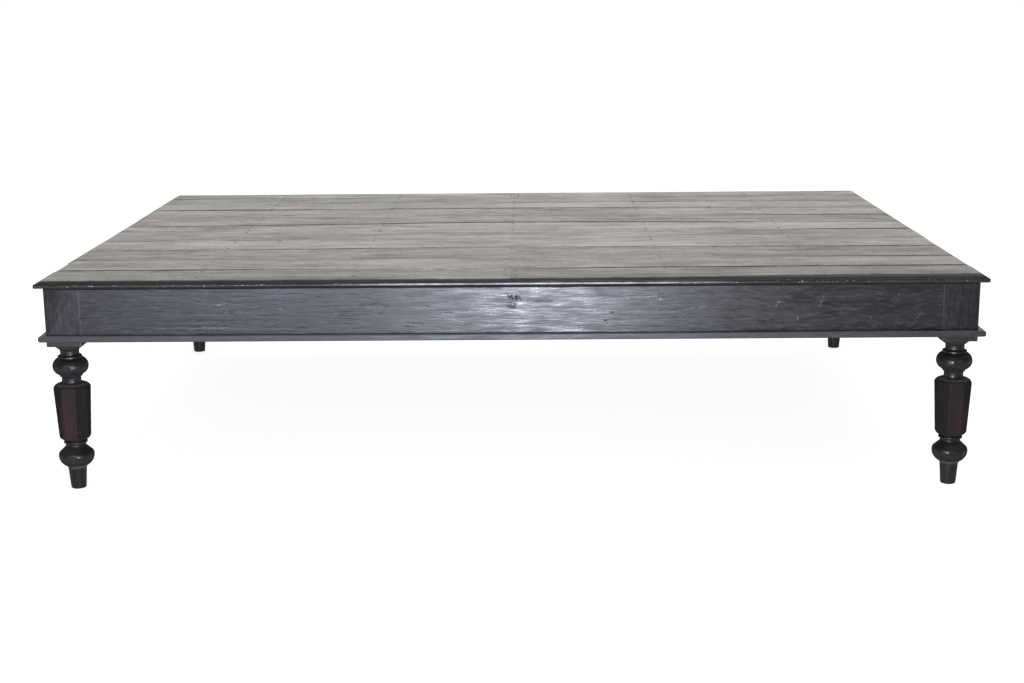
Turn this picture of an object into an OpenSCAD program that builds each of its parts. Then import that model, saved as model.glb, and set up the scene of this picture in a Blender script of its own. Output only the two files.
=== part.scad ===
// Low teak coffee table: eleven weathered boards on a mortised frame, with a moulded strip
// round its foot and four legs that are turned and then planed to tapered octagons.
// Millimetres, +Z up. The origin is on the floor under the middle of the table,
// +X runs along the long side and -Y is the front.

/* [Table] */
// Length of the top, along X
top_w = 2100; // [1500:10:2400]
// Depth of the top, along Y
top_d = 1500; // [1100:10:1700]
// Height from the floor to the top's surface
table_h = 486; // [440:2:560]
// How far the top stands out past the aprons
overhang = 18; // [14:1:45]

/* [Top boards] */
// Thickness of the boards
board_t = 14; // [13:0.5:20]
// Gap at each joint between boards, from shrinkage
board_gap = 0.8; // [0.4:0.1:2]
// Width of the slope moulded on the outer edges
mould_w = 20; // [12:1:26]
// Radius of the rounded nose under the slope
nose_r = 4.75; // [3.5:0.25:5]
// How far the slope falls before it meets the nose
mould_drop = 3.5; // [2:0.25:3.75]
// Radius that wear has put on the top's four corners, seen from above
corner_r = 8; // [4:0.5:14]

/* [Pegs in the top] */
// Diameter of the pegs that hold the boards
top_peg_d = 8; // [6:0.5:10]
// Distance from a board's edge to its pegs
peg_edge = 20; // [14:1:26]
// How deep a peg goes into its bearer
peg_bite = 30; // [20:1:36]

/* [Frame] */
// Side of the square leg stock
post_s = 78; // [72:1:90]
// Height of the aprons
apron_h = 122; // [100:1:140]
// Thickness of the aprons
apron_t = 28; // [24:1:30]
// How far the square part of a leg runs on below the aprons
post_drop = 13; // [8:1:24]
// Length of the tenons on the aprons
tenon_l = 46; // [36:1:48]
// Thickness of the tenons
tenon_t = 12; // [8:1:12]
// Shoulder below a tenon
tenon_foot = 14; // [8:1:20]
// Height of the stepped-back part, the haunch, above a tenon
haunch_h = 34; // [20:1:36]
// Length of the haunch
haunch_l = 14; // [8:1:20]
// Diameter of the pegs that lock the tenons
lock_peg_d = 8; // [6:0.5:9]
// Clearance on every side of a tenon, tongue, dovetail or peg
fit = 0.1; // [0.05:0.05:0.2]

/* [Lower moulding] */
// Height of the strip
strip_h = 14; // [12:0.5:26]
// How far the strip stands out
strip_out = 14; // [8:0.5:18]
// Radius on the strip's two outer edges
strip_r = 5; // [2:0.5:5.5]
// Thickness of the tongue that lodges the strip
tongue_h = 5; // [4:0.5:8]
// Depth of the tongue
tongue_l = 5; // [3:0.5:6]

/* [Bearers] */
// Width of a bearer
bearer_w = 44; // [40:1:60]
// Height of a bearer
bearer_h = 50; // [42:1:70]
// Width of the dovetail at its shoulder
tail_root = 24; // [18:1:28]
// Width of the dovetail at its end
tail_end = 34; // [30:1:38]
// Length of the dovetail, let into the apron
tail_l = 14; // [10:1:18]
// Height of the dovetail
tail_h = 26; // [18:1:34]

/* [Leg turning] */
// Radius of the sole
sole_r = 17; // [14:0.5:20]
// Radius at the ankle, under the lower bulb
ankle_r = 20.3; // [18:0.1:22]
// Height of the foot
foot_h = 53.5; // [45:0.5:70]
// Radius of both bulbs at their widest
bulb_r = 39.75; // [36:0.25:43]
// Width across the four small flats that the square stock left on the bulbs
bulb_flats = 76; // [70:0.5:77.5]
// Height of the lower bulb
low_bulb_h = 42.5; // [36:0.5:48]
// Height of the beaded neck above the lower bulb
low_neck_h = 19.5; // [18:0.5:24]
// Radius of the bead's section
bead_r = 4; // [3:0.25:5]
// Radius of the necks
neck_r = 21.4; // [20.5:0.1:24]
// Octagon across its flats at the lower end
oct_low = 64.6; // [58:0.2:70]
// Height of the neck between the octagon and the upper bulb
mid_neck_h = 20.5; // [17:0.5:24]
// Height of the upper bulb
up_bulb_h = 38; // [32:0.5:44]
// Height of the turned neck under the square post
top_neck_h = 31.5; // [28:0.5:40]

/* [Hidden] */
$fn = 64;
cut = 1;

// Each joint between two boards, as shares of the depth at the left end, in the middle
// and at the right end. The boards were fitted by eye, so that no joint is quite straight.
seams = [
    [0, 0, 0],
    [0.103, 0.099, 0.104],
    [0.189, 0.191, 0.189],
    [0.283, 0.299, 0.285],
    [0.377, 0.387, 0.377],
    [0.489, 0.495, 0.469],
    [0.547, 0.579, 0.547],
    [0.650, 0.660, 0.645],
    [0.760, 0.762, 0.745],
    [0.841, 0.841, 0.844],
    [0.927, 0.920, 0.927],
    [1, 1, 1]
];
board_count = len(seams) - 1;

// Frame
frame_top = table_h - board_t;
frame_x = top_w / 2 - overhang;
frame_y = top_d / 2 - overhang;
leg_x = frame_x - post_s / 2;
leg_y = frame_y - post_s / 2;
apron_z = frame_top - apron_h;
post_z = apron_z - post_drop;
tenon_z = apron_z + tenon_foot;
tenon_h = apron_h - tenon_foot - haunch_h;
tenon_in = (apron_t - tenon_t) / 2;
bearer_pitch = top_w / 6;
bearer_len = 2 * (frame_y - apron_t);

// Lock pegs: they are driven from inside, so that nothing shows on the outer faces
lock_peg_x = tenon_l * 0.52;
lock_peg_len = post_s - 1;
lock_peg_proud = 4;
lock_peg_low = tenon_z + 1.5 * lock_peg_d;
lock_peg_step = (tenon_h - 3 * lock_peg_d) * 0.7;
lock_peg_shift = (tenon_h - 3 * lock_peg_d) * 0.3;

// Heights on a leg, from the floor up. The octagon takes what the turned parts leave.
low_bulb_z = foot_h + 0.59 * low_bulb_h;
low_neck_z = foot_h + low_bulb_h;
oct_z = low_neck_z + low_neck_h;
up_neck_z = post_z - top_neck_h;
up_bulb_z = up_neck_z - up_bulb_h;
oct_top_z = up_bulb_z - mid_neck_h;
oct_h = oct_top_z - oct_z;
ring_r = neck_r + 5.5;
// Radius round the octagon's corners, with a little to spare for the plane
function arris_r(across) = across / 2 / cos(22.5) + 0.5;
function oct_at(z) = oct_low + (post_s - oct_low) * (z - oct_z) / oct_h;

// Radius of the arc that is s deep over a half chord h
function arc_r(h, s) = (h * h + s * s) / (2 * s);

// Section of a plain round stretch of radius r between two heights
module band(r, z_from, z_to) {
    polygon([[0, z_from], [r, z_from], [r, z_to], [0, z_to]]);
}

// Section of a convex turning: widest at z_wide, closing to r_end at z_end
module swell(r_wide, r_end, z_wide, z_end) {
    arc = arc_r(z_end - z_wide, r_wide - r_end);
    intersection() {
        translate([r_wide - arc, z_wide]) circle(arc);
        band(r_wide, z_wide, z_end);
    }
    band(r_end, z_wide, z_end);
}

// Section of a concave turning: narrowest at z_neck, opening to r_end at z_end
module hollow(r_neck, r_end, z_neck, z_end) {
    arc = arc_r(z_end - z_neck, r_end - r_neck);
    difference() {
        band(r_end, z_neck, z_end);
        translate([r_neck + arc, z_neck]) circle(arc);
    }
}

// Section of the whole turned part of a leg, from the sole to the square post
module turning_section() {
    // Foot, tapered down to an eased sole, with a flare at the ankle
    ankle_z = foot_h - 8.5;
    flare_r = ankle_r + 4.2;
    polygon([[0, 0], [sole_r - 1.2, 0], [sole_r, 1.2], [ankle_r, ankle_z], [0, ankle_z]]);
    hollow(ankle_r, flare_r, ankle_z, foot_h);

    // Lower bulb, fuller below its widest line and drawn in above it
    draw_z = low_bulb_z + (low_neck_z - low_bulb_z) * 0.62;
    draw_r = bulb_r - 6.2;
    swell(bulb_r, flare_r, low_bulb_z, foot_h);
    swell(bulb_r, draw_r, low_bulb_z, draw_z);
    polygon([[0, draw_z], [draw_r, draw_z], [ring_r, low_neck_z], [0, low_neck_z]]);

    // Neck that sweeps in, with a bead close under the octagon
    bead_z = oct_z - bead_r - 2;
    sweep_z = bead_z - bead_r;
    hollow(neck_r, ring_r, sweep_z, low_neck_z);
    band(neck_r, sweep_z, oct_z);
    translate([neck_r + 1.2, bead_z]) circle(bead_r);

    // Blank for the octagon, with a turned shoulder below and a low, nearly flat one above
    shoulder_z = oct_z + 12.5;
    dome_z = oct_top_z - 14.5;
    low_r = arris_r(oct_at(shoulder_z));
    top_r = arris_r(oct_at(dome_z));
    flat_r = post_s / 2 - 8;
    swell(low_r, low_r - 12.5, shoulder_z, oct_z);
    polygon([[0, shoulder_z], [low_r, shoulder_z], [top_r, dome_z], [0, dome_z]]);
    swell(top_r, flat_r, dome_z, oct_top_z - 1.5);
    polygon([[0, oct_top_z - 1.5], [flat_r, oct_top_z - 1.5], [neck_r + 2.6, oct_top_z], [0, oct_top_z]]);

    // Middle neck, flared at its foot, with a quarter round under the bulb
    hollow(neck_r, neck_r + 2.2, oct_top_z + 5.5, oct_top_z);
    band(neck_r, oct_top_z, up_bulb_z);
    swell(ring_r - 0.6, neck_r + 0.8, up_bulb_z, up_bulb_z - 6);

    // Upper bulb
    up_wide_z = up_bulb_z + up_bulb_h / 2;
    swell(bulb_r, ring_r, up_wide_z, up_bulb_z);
    swell(bulb_r, ring_r, up_wide_z, up_neck_z);

    // Collar on the bulb, a long straight throat and the cone under the square post
    throat_foot = up_neck_z + 5;
    throat_z = throat_foot + 4;
    cone_z = post_z - 10.5;
    flare_z = cone_z - 4.5;
    band(ring_r, up_neck_z, throat_foot);
    hollow(neck_r - 0.4, ring_r - 2, throat_z, throat_foot);
    band(neck_r - 0.4, throat_z, cone_z);
    hollow(neck_r - 0.4, neck_r + 2, flare_z, cone_z - 1);
    band(neck_r + 2, cone_z - 1, cone_z);
    polygon([[0, cone_z], [neck_r + 3.2, cone_z], [post_s / 2 - 0.6, post_z + cut], [0, post_z + cut]]);
}

// Side view of what the plane leaves: the flats on the bulbs, a taper along the octagon and
// the stock's full width above. It steps only at the necks, where the leg is thinner than any of it.
module planed_slab(flats, stock) {
    half = flats / 2;
    full = stock / 2;
    low = oct_low / 2;
    top = post_s / 2;
    outline = [
        [half, -cut], [half, oct_z], [low, oct_z], [top, oct_top_z], [half, oct_top_z],
        [half, up_neck_z + 8], [full, up_neck_z + 8], [full, post_z + 2 * cut]
    ];
    mirrored = [for (i = [len(outline) - 1:-1:0]) [-outline[i][0], outline[i][1]]];
    rotate([90, 0, 0])
        linear_extrude(height = 2 * post_s, center = true)
            polygon(concat(outline, mirrored));
}

// Turned and planed part of a leg, on its own axis. The bulbs are a little wider than the
// stock, so that each keeps four small round flats of the square.
module leg_turning() {
    intersection() {
        rotate_extrude() turning_section();
        planed_slab(bulb_flats, post_s);
        rotate([0, 0, 90]) planed_slab(bulb_flats, post_s);
        rotate([0, 0, 45]) planed_slab(2 * post_s, 2 * post_s);
        rotate([0, 0, 135]) planed_slab(2 * post_s, 2 * post_s);
    }
}

// Outline of an apron's haunched tenon seen from the side: x from the shoulder, z up
module tenon_outline(spare) {
    translate([-cut, tenon_z - spare]) square([tenon_l + spare + cut, tenon_h + 2 * spare]);
    translate([-cut, tenon_z - spare]) square([haunch_l + spare + cut, tenon_h + haunch_h + spare + (spare > 0 ? cut : 0)]);
}

// A tenon, or with spare its mortise, that runs along -X from the post's inner face
module tenon_along_x(spare) {
    translate([post_s / 2, -post_s / 2 + tenon_in + tenon_t / 2, 0])
        mirror([1, 0, 0]) rotate([90, 0, 0])
            linear_extrude(height = tenon_t + 2 * spare, center = true) tenon_outline(spare);
}

// The same for the apron that meets the post along Y: the two swap X and Y
module tenon_along_y(spare) {
    mirror([1, -1, 0]) tenon_along_x(spare);
}

// Lock pegs of the apron that runs along X, driven along -Y from the post's inner face
module lock_pegs_y(d, len, start) {
    for (z = [lock_peg_low, lock_peg_low + lock_peg_step])
        translate([post_s / 2 - lock_peg_x, post_s / 2 + start, z])
            rotate([90, 0, 0]) cylinder(d = d, h = len);
}

// Lock pegs of the apron that runs along Y, a little higher so that the two pairs clear
module lock_pegs_x(d, len, start) {
    translate([0, 0, lock_peg_shift]) mirror([1, -1, 0]) lock_pegs_y(d, len, start);
}

// Groove for the lower moulding's tongue, cut in one face at the post's or apron's outside
module tongue_groove(length) {
    translate([-length / 2, -cut, apron_z + (strip_h - tongue_h) / 2 - fit])
        cube([length, tongue_l + fit + cut, tongue_h + 2 * fit]);
}

// Front left leg on its own axis: the post's outer faces look to -X and -Y
module leg_blank() {
    difference() {
        union() {
            leg_turning();
            translate([-post_s / 2, -post_s / 2, post_z]) cube([post_s, post_s, frame_top - post_z]);
        }
        tenon_along_x(fit);
        tenon_along_y(fit);
        lock_pegs_y(lock_peg_d + 2 * fit, lock_peg_len - lock_peg_proud + cut + fit, cut);
        lock_pegs_x(lock_peg_d + 2 * fit, lock_peg_len - lock_peg_proud + cut + fit, cut);
        translate([0, -post_s / 2, 0]) tongue_groove(post_s + 2 * cut);
        mirror([1, -1, 0]) translate([0, -post_s / 2, 0]) tongue_groove(post_s + 2 * cut);
    }
}

// Places a front left part at the corner given by the signs of x and y
module at_corner(sx, sy) {
    translate([sx * leg_x, sy * leg_y, 0])
        mirror([sx > 0 ? 1 : 0, 0, 0]) mirror([0, sy > 0 ? 1 : 0, 0]) children();
}

module leg(sx, sy) {
    color([0.13, 0.11, 0.11]) at_corner(sx, sy) leg_blank();
}

// Dovetail of a bearer seen from above, or with spare its socket: y from the shoulder out
module tail_outline(spare) {
    polygon([
        [-tail_root / 2 - spare, -cut], [tail_root / 2 + spare, -cut], [tail_root / 2 + spare, 0],
        [tail_end / 2 + spare, tail_l + spare], [-tail_end / 2 - spare, tail_l + spare],
        [-tail_root / 2 - spare, 0]
    ]);
}

// One apron along X with its outer face at y = 0, made for the span between two posts.
// sockets lists the places of the bearers that are let into its top edge.
module apron_blank(span, sockets) {
    difference() {
        translate([-span / 2, 0, apron_z]) cube([span, apron_t, apron_h]);
        tongue_groove(span + 2 * cut);
        for (x = sockets)
            translate([x, apron_t, frame_top - tail_h - fit])
                mirror([0, 1, 0]) linear_extrude(height = tail_h + fit + cut) tail_outline(fit);
    }
}

// Tenons of an apron whose outer face is at y = 0
module apron_tenons(span) {
    for (side = [-1, 1])
        mirror([side > 0 ? 1 : 0, 0, 0])
            translate([-span / 2, tenon_in + tenon_t / 2, 0])
                difference() {
                    mirror([1, 0, 0]) rotate([90, 0, 0])
                        linear_extrude(height = tenon_t, center = true) tenon_outline(0);
                    translate([0, -tenon_t, apron_z - cut]) cube([span, 2 * tenon_t, apron_h + 2 * cut]);
                }
}

// Holes for the lock pegs in the tenons of an apron whose outer face is at y = 0
module tenon_holes(span, lift) {
    for (side = [-1, 1])
        for (z = [lock_peg_low, lock_peg_low + lock_peg_step])
            translate([side * (span / 2 + lock_peg_x), apron_t + cut, z + lift])
                rotate([90, 0, 0]) cylinder(d = lock_peg_d + 2 * fit, h = apron_t + 2 * cut);
}

module apron_body(span, sockets, lift) {
    difference() {
        union() {
            apron_blank(span, sockets);
            apron_tenons(span);
        }
        tenon_holes(span, lift);
    }
}

bearer_places = [for (i = [-2:2]) i * bearer_pitch];

// Front apron for side = -1, back apron for side = 1
module apron_long(side) {
    color([0.16, 0.15, 0.16])
        mirror([0, side > 0 ? 1 : 0, 0])
            translate([0, -frame_y, 0]) apron_body(2 * frame_x - 2 * post_s, bearer_places, 0);
}

// Left apron for side = -1, right apron for side = 1
module apron_short(side) {
    color([0.16, 0.15, 0.16])
        mirror([side > 0 ? 1 : 0, 0, 0])
            mirror([1, -1, 0])
                translate([0, -frame_x, 0]) apron_body(2 * frame_y - 2 * post_s, [], lock_peg_shift);
}

// Section of the lower moulding: the apron's face is at x = 0 and the strip stands out to -x
module strip_section() {
    translate([-strip_out + strip_r, 0]) square([strip_out - strip_r, strip_h]);
    translate([-strip_out, strip_r]) square([strip_out, strip_h - 2 * strip_r]);
    translate([-strip_out + strip_r, strip_r]) circle(strip_r);
    translate([-strip_out + strip_r, strip_h - strip_r]) circle(strip_r);
    translate([-cut, (strip_h - tongue_h) / 2]) square([tongue_l + cut, tongue_h]);
}

// One strip along X on a face at y = -face, mitred where it meets its neighbours at half
module strip_blank(half, face) {
    far = strip_out + cut;
    near = tongue_l + cut;
    intersection() {
        translate([-half - far, -face, apron_z])
            rotate([90, 0, 90]) linear_extrude(height = 2 * (half + far)) strip_section();
        translate([0, 0, apron_z - cut])
            linear_extrude(height = strip_h + 2 * cut)
                polygon([
                    [-half - far + fit, -face - far], [half + far - fit, -face - far],
                    [half - near - fit, -face + near], [-half + near + fit, -face + near]
                ]);
    }
}

module strip_long(side) {
    color([0.18, 0.17, 0.18])
        mirror([0, side > 0 ? 1 : 0, 0]) strip_blank(frame_x, frame_y);
}

module strip_short(side) {
    color([0.18, 0.17, 0.18])
        mirror([side > 0 ? 1 : 0, 0, 0]) mirror([1, -1, 0]) strip_blank(frame_y, frame_x);
}

// Place of joint i between boards at x, measured from the middle of the table
function seam_y(i, x) =
    let (end = x < 0 ? seams[i][0] : seams[i][2], mid = seams[i][1])
    (mid + (end - mid) * abs(x) / (top_w / 2) - 0.5) * top_d;

// The two rows of pegs in board i over the bearer at x. The outer boards' first row stands
// clear of the aprons.
function peg_rows(i, x) = [
    max(seam_y(i - 1, x) + peg_edge, -frame_y + apron_t + peg_edge),
    min(seam_y(i, x) - peg_edge, frame_y - apron_t - peg_edge)
];

// Across the middle bearer the first and last boards are in two lengths, with pegs on both sides
function peg_columns(i, b) =
    b == 0 && (i == 1 || i == board_count) ? [-bearer_w / 4, bearer_w / 4] : [b * bearer_pitch];

module at_top_pegs(boards, bearers) {
    for (i = boards)
        for (b = bearers)
            for (x = peg_columns(i, b))
                for (y = peg_rows(i, b * bearer_pitch))
                    translate([x, y, 0]) children();
}

// Section of the whole top, width wide, with the moulded slope and nose on both edges
module top_section(width) {
    half = width / 2;
    arc = arc_r(mould_w - nose_r, mould_drop);
    translate([-half + mould_w, 0]) square([width - 2 * mould_w, board_t]);
    for (side = [0, 1])
        mirror([side, 0]) {
            translate([half - nose_r, nose_r]) circle(nose_r);
            intersection() {
                translate([half - mould_w, board_t - arc]) circle(arc);
                translate([half - mould_w - cut, 0]) square([mould_w - nose_r + cut, board_t]);
            }
        }
}

// Outline of the top seen from above, with its four corners rounded by wear
module top_plan() {
    square([top_w + 2 * cut, top_d - 2 * corner_r], center = true);
    square([top_w - 2 * corner_r, top_d + 2 * cut], center = true);
    for (sx = [-1, 1])
        for (sy = [-1, 1])
            translate([sx * (top_w / 2 - corner_r), sy * (top_d / 2 - corner_r)]) circle(corner_r);
}

// The top before it is divided: two long mouldings and two end mouldings that meet in mitres
module top_blank() {
    translate([0, 0, frame_top])
        intersection() {
            translate([-top_w / 2 - cut, 0, 0])
                rotate([90, 0, 90]) linear_extrude(height = top_w + 2 * cut) top_section(top_d);
            translate([0, top_d / 2 + cut, 0])
                rotate([90, 0, 0]) linear_extrude(height = top_d + 2 * cut) top_section(top_w);
            translate([0, 0, -cut]) linear_extrude(height = board_t + 2 * cut) top_plan();
        }
}

// Outline of board i from above, from x1 to x2. Its outer edges run past the moulding.
module board_outline(i, x1, x2) {
    front_gap = i == 1 ? -cut : board_gap / 2;
    back_gap = i == board_count ? -cut : board_gap / 2;
    bends = x1 < 0 && x2 > 0 ? [0] : [];
    xs = concat([x1], bends, [x2]);
    front = [for (x = xs) [x, seam_y(i - 1, x) + front_gap]];
    back = [for (k = [len(xs) - 1:-1:0]) [xs[k], seam_y(i, xs[k]) - back_gap]];
    polygon(concat(front, back));
}

// Board i from the front, cut to the stretch from x1 to x2
module board_piece(i, x1, x2) {
    color([0.62, 0.6, 0.58])
        difference() {
            intersection() {
                top_blank();
                translate([0, 0, frame_top - cut])
                    linear_extrude(height = board_t + 2 * cut) board_outline(i, x1, x2);
            }
            at_top_pegs([i], [-2:2])
                translate([0, 0, frame_top - cut]) cylinder(d = top_peg_d + 2 * fit, h = board_t + 2 * cut);
        }
}

module board(i) {
    board_piece(i, -top_w / 2 - cut, top_w / 2 + cut);
}

// The first and last boards are in two lengths that butt over the middle bearer
module board_half(i, side) {
    inner = side * board_gap / 2;
    outer = side * (top_w / 2 + cut);
    board_piece(i, min(inner, outer), max(inner, outer));
}

// Bearer number b, counted from the middle, with dovetails let into both long aprons
module bearer(b) {
    color([0.42, 0.31, 0.21])
        difference() {
            translate([b * bearer_pitch, 0, 0]) {
                translate([-bearer_w / 2, -bearer_len / 2, frame_top - bearer_h])
                    cube([bearer_w, bearer_len, bearer_h]);
                for (side = [0, 1])
                    mirror([0, side, 0])
                        translate([0, bearer_len / 2, frame_top - tail_h])
                            linear_extrude(height = tail_h) tail_outline(0);
            }
            at_top_pegs([1:board_count], [b])
                translate([0, 0, frame_top - peg_bite - fit])
                    cylinder(d = top_peg_d + 2 * fit, h = peg_bite + fit + cut);
        }
}

module top_pegs() {
    color([0.5, 0.47, 0.43])
        at_top_pegs([1:board_count], [-2:2])
            translate([0, 0, frame_top - peg_bite]) cylinder(d = top_peg_d, h = peg_bite + board_t);
}

module lock_pegs() {
    color([0.36, 0.27, 0.19])
        for (sx = [-1, 1])
            for (sy = [-1, 1])
                at_corner(sx, sy) {
                    lock_pegs_y(lock_peg_d, lock_peg_len, lock_peg_proud);
                    lock_pegs_x(lock_peg_d, lock_peg_len, lock_peg_proud);
                }
}

leg(-1, -1);  // leg_front_left
leg(1, -1);  // leg_front_right
leg(-1, 1);  // leg_back_left
leg(1, 1);  // leg_back_right
apron_long(-1);  // apron_front
apron_long(1);  // apron_back
apron_short(-1);  // apron_left
apron_short(1);  // apron_right
strip_long(-1);  // strip_front
strip_long(1);  // strip_back
strip_short(-1);  // strip_left
strip_short(1);  // strip_right
bearer(-2);  // bearer_far_left
bearer(-1);  // bearer_left
bearer(0);  // bearer_middle
bearer(1);  // bearer_right
bearer(2);  // bearer_far_right
board_half(1, -1);  // board_01_left
board_half(1, 1);  // board_01_right
board(2);  // board_02
board(3);  // board_03
board(4);  // board_04
board(5);  // board_05
board(6);  // board_06
board(7);  // board_07
board(8);  // board_08
board(9);  // board_09
board(10);  // board_10
board_half(11, -1);  // board_11_left
board_half(11, 1);  // board_11_right
top_pegs();
lock_pegs();
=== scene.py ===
# %% [markdown]
# # A low teak table, dressed over its solids
#
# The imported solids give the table's shape and size. What they lack is age. Hands, cloths and
# polish have rounded every arris, the boards have moved, the joints are full of dirt and the top
# is grey. This lesson adds that age. It loads the solids first, because all else is set against
# them.

# %% Load the solids
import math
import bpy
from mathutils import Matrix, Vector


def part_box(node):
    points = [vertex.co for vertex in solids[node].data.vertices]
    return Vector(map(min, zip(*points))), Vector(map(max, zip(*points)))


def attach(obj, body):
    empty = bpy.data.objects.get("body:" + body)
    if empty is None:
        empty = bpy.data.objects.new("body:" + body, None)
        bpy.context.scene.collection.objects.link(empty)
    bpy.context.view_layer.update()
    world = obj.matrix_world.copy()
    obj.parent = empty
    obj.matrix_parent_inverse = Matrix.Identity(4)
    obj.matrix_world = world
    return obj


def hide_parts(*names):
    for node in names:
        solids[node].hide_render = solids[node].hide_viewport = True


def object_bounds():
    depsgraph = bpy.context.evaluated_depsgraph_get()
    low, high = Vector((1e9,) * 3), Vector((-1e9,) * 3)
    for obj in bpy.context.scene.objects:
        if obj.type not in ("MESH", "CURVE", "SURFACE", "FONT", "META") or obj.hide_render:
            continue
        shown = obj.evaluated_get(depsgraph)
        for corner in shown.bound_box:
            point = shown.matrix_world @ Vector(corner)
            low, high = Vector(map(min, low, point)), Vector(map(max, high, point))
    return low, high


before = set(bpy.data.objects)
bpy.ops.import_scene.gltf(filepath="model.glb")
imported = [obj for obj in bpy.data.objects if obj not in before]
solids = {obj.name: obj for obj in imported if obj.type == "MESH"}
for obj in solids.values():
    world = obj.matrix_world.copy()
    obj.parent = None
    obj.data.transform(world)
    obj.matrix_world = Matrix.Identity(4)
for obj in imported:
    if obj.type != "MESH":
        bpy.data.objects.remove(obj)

# %% Measure the table
from types import SimpleNamespace

import bpy
from mathutils import Matrix, Vector

low_corner, high_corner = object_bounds()
half_length = high_corner.x
half_depth = high_corner.y
top_height = high_corner.z
print("solids:", len(solids))
print("length, depth, height:", [round(v, 4) for v in high_corner - low_corner])

# %% [markdown]
# ## Copies that may be worn
#
# A solid is never changed, because the model of the joints depends on it. A worn piece is a copy
# of the solid's mesh instead, and takes its place. The mesh comes as loose triangles, so the
# corners that meet are merged first. Without that, a bevel or a smoothing step would tear the
# surface open along every triangle.

# %% Take a merged copy of a solid
MERGE_DISTANCE = 0.00002


def clear_selection():
    if bpy.context.mode != "OBJECT":
        bpy.ops.object.mode_set(mode="OBJECT")
    bpy.ops.object.select_all(action="DESELECT")


def pick_up(piece):
    clear_selection()
    bpy.context.view_layer.objects.active = piece
    piece.select_set(True)


def copy_of(solid_name):
    piece = bpy.data.objects.new("worn_" + solid_name, solids[solid_name].data.copy())
    bpy.context.scene.collection.objects.link(piece)
    pick_up(piece)
    if piece.data.has_custom_normals:
        bpy.ops.mesh.customdata_custom_splitnormals_clear()
    bpy.ops.object.mode_set(mode="EDIT")
    bpy.ops.mesh.select_all(action="SELECT")
    bpy.ops.mesh.remove_doubles(threshold=MERGE_DISTANCE)
    bpy.ops.object.mode_set(mode="OBJECT")
    return piece


def put_in_place_of(piece, solid_name):
    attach(piece, "root")
    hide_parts(solid_name)


def apply_modifier(piece, modifier):
    pick_up(piece)
    bpy.ops.object.modifier_apply(modifier=modifier.name)


# %% [markdown]
# ## The legs: turned, planed and handled
#
# Each leg is turned from square stock and then planed to a tapered octagon between two necks.
# The planed facets meet the turned shoulder in arcs. On an old leg none of these edges is sharp,
# yet none is a neat chamfer: hands and brooms take more from a corner that stands proud.
# A bevel would give every edge one width, and it breaks where a facet runs out on the shoulder.
# So the turned part is rebuilt as a fine even net of small squares, and the net is relaxed a few
# times, as sandpaper would do. Flat faces and round bulbs keep their shape, and only edges give way.
#
# The aprons meet the square post flush, so a rounded corner there would open a bright groove at
# each joint. The leg is therefore parted behind the strip, out of sight. The post keeps its crisp
# faces, and only its one outer corner is eased.
#
# A leg takes three finishes, so it gets three slots. The turned parts were burnished on the lathe
# and the planed facets never were. The post is polished like the aprons beside it.

# %% Wear the legs
LEG_NET = 0.0011
LEG_RELAXING = 3
SMOOTH_ANGLE = math.radians(30)
BEHIND_STRIP = 0.002
PARTING_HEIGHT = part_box("strip_front")[0].z + BEHIND_STRIP
POST_ARRIS = 0.0018
CORNER_NEAR = 0.0001
PLANED_FROM = 0.1180
PLANED_TO = 0.2430
FLATTEST_FACET = 0.45
TURNED_SLOT = 0
POST_SLOT = 1
PLANED_SLOT = 2


def keep_one_side(piece, height, keep_upper):
    pick_up(piece)
    bpy.ops.object.mode_set(mode="EDIT")
    bpy.ops.mesh.select_all(action="SELECT")
    bpy.ops.mesh.bisect(
        plane_co=(0, 0, height), plane_no=(0, 0, 1),
        use_fill=True, clear_inner=keep_upper, clear_outer=not keep_upper)
    bpy.ops.object.mode_set(mode="OBJECT")


def bevel_edges(piece, wanted, width, segments):
    pick_up(piece)
    bpy.ops.object.mode_set(mode="EDIT")
    bpy.ops.mesh.select_mode(type="EDGE")
    bpy.ops.mesh.select_all(action="DESELECT")
    bpy.ops.object.mode_set(mode="OBJECT")
    for edge in piece.data.edges:
        edge.select = wanted(edge.vertices[0], edge.vertices[1])
    bpy.ops.object.mode_set(mode="EDIT")
    bpy.ops.mesh.bevel(offset=width, segments=segments, affect="EDGES", clamp_overlap=True)
    bpy.ops.object.mode_set(mode="OBJECT")


def ease_outer_corner(post):
    corners = [v.co for v in post.data.vertices]
    far_x = max(abs(c.x) for c in corners) - CORNER_NEAR
    far_y = max(abs(c.y) for c in corners) - CORNER_NEAR
    outer = [abs(c.x) > far_x and abs(c.y) > far_y for c in corners]
    bevel_edges(post, lambda a, b: outer[a] and outer[b], POST_ARRIS, 3)


def relax_turned_part(leg):
    pick_up(leg)
    net = leg.modifiers.new("net", "REMESH")
    net.mode = "VOXEL"
    net.voxel_size = LEG_NET
    net.use_smooth_shade = True
    apply_modifier(leg, net)
    relax = leg.modifiers.new("relax", "SMOOTH")
    relax.factor = 0.5
    relax.iterations = LEG_RELAXING
    apply_modifier(leg, relax)


def leg_slot_of(face, turned_faces):
    if face.index >= turned_faces:
        return POST_SLOT
    on_octagon = PLANED_FROM < face.center.z < PLANED_TO
    return PLANED_SLOT if on_octagon and abs(face.normal.z) < FLATTEST_FACET else TURNED_SLOT


def wear_leg(solid_name):
    leg = copy_of(solid_name)
    keep_one_side(leg, PARTING_HEIGHT, False)
    post = copy_of(solid_name)
    keep_one_side(post, PARTING_HEIGHT, True)
    ease_outer_corner(post)
    relax_turned_part(leg)
    for _ in (TURNED_SLOT, POST_SLOT, PLANED_SLOT):
        bpy.ops.object.material_slot_add()
    turned_faces = len(leg.data.polygons)
    post.select_set(True)
    bpy.ops.object.join()
    for face in leg.data.polygons:
        face.material_index = leg_slot_of(face, turned_faces)
    bpy.ops.object.shade_smooth_by_angle(angle=SMOOTH_ANGLE)
    put_in_place_of(leg, solid_name)
    return leg


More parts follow.
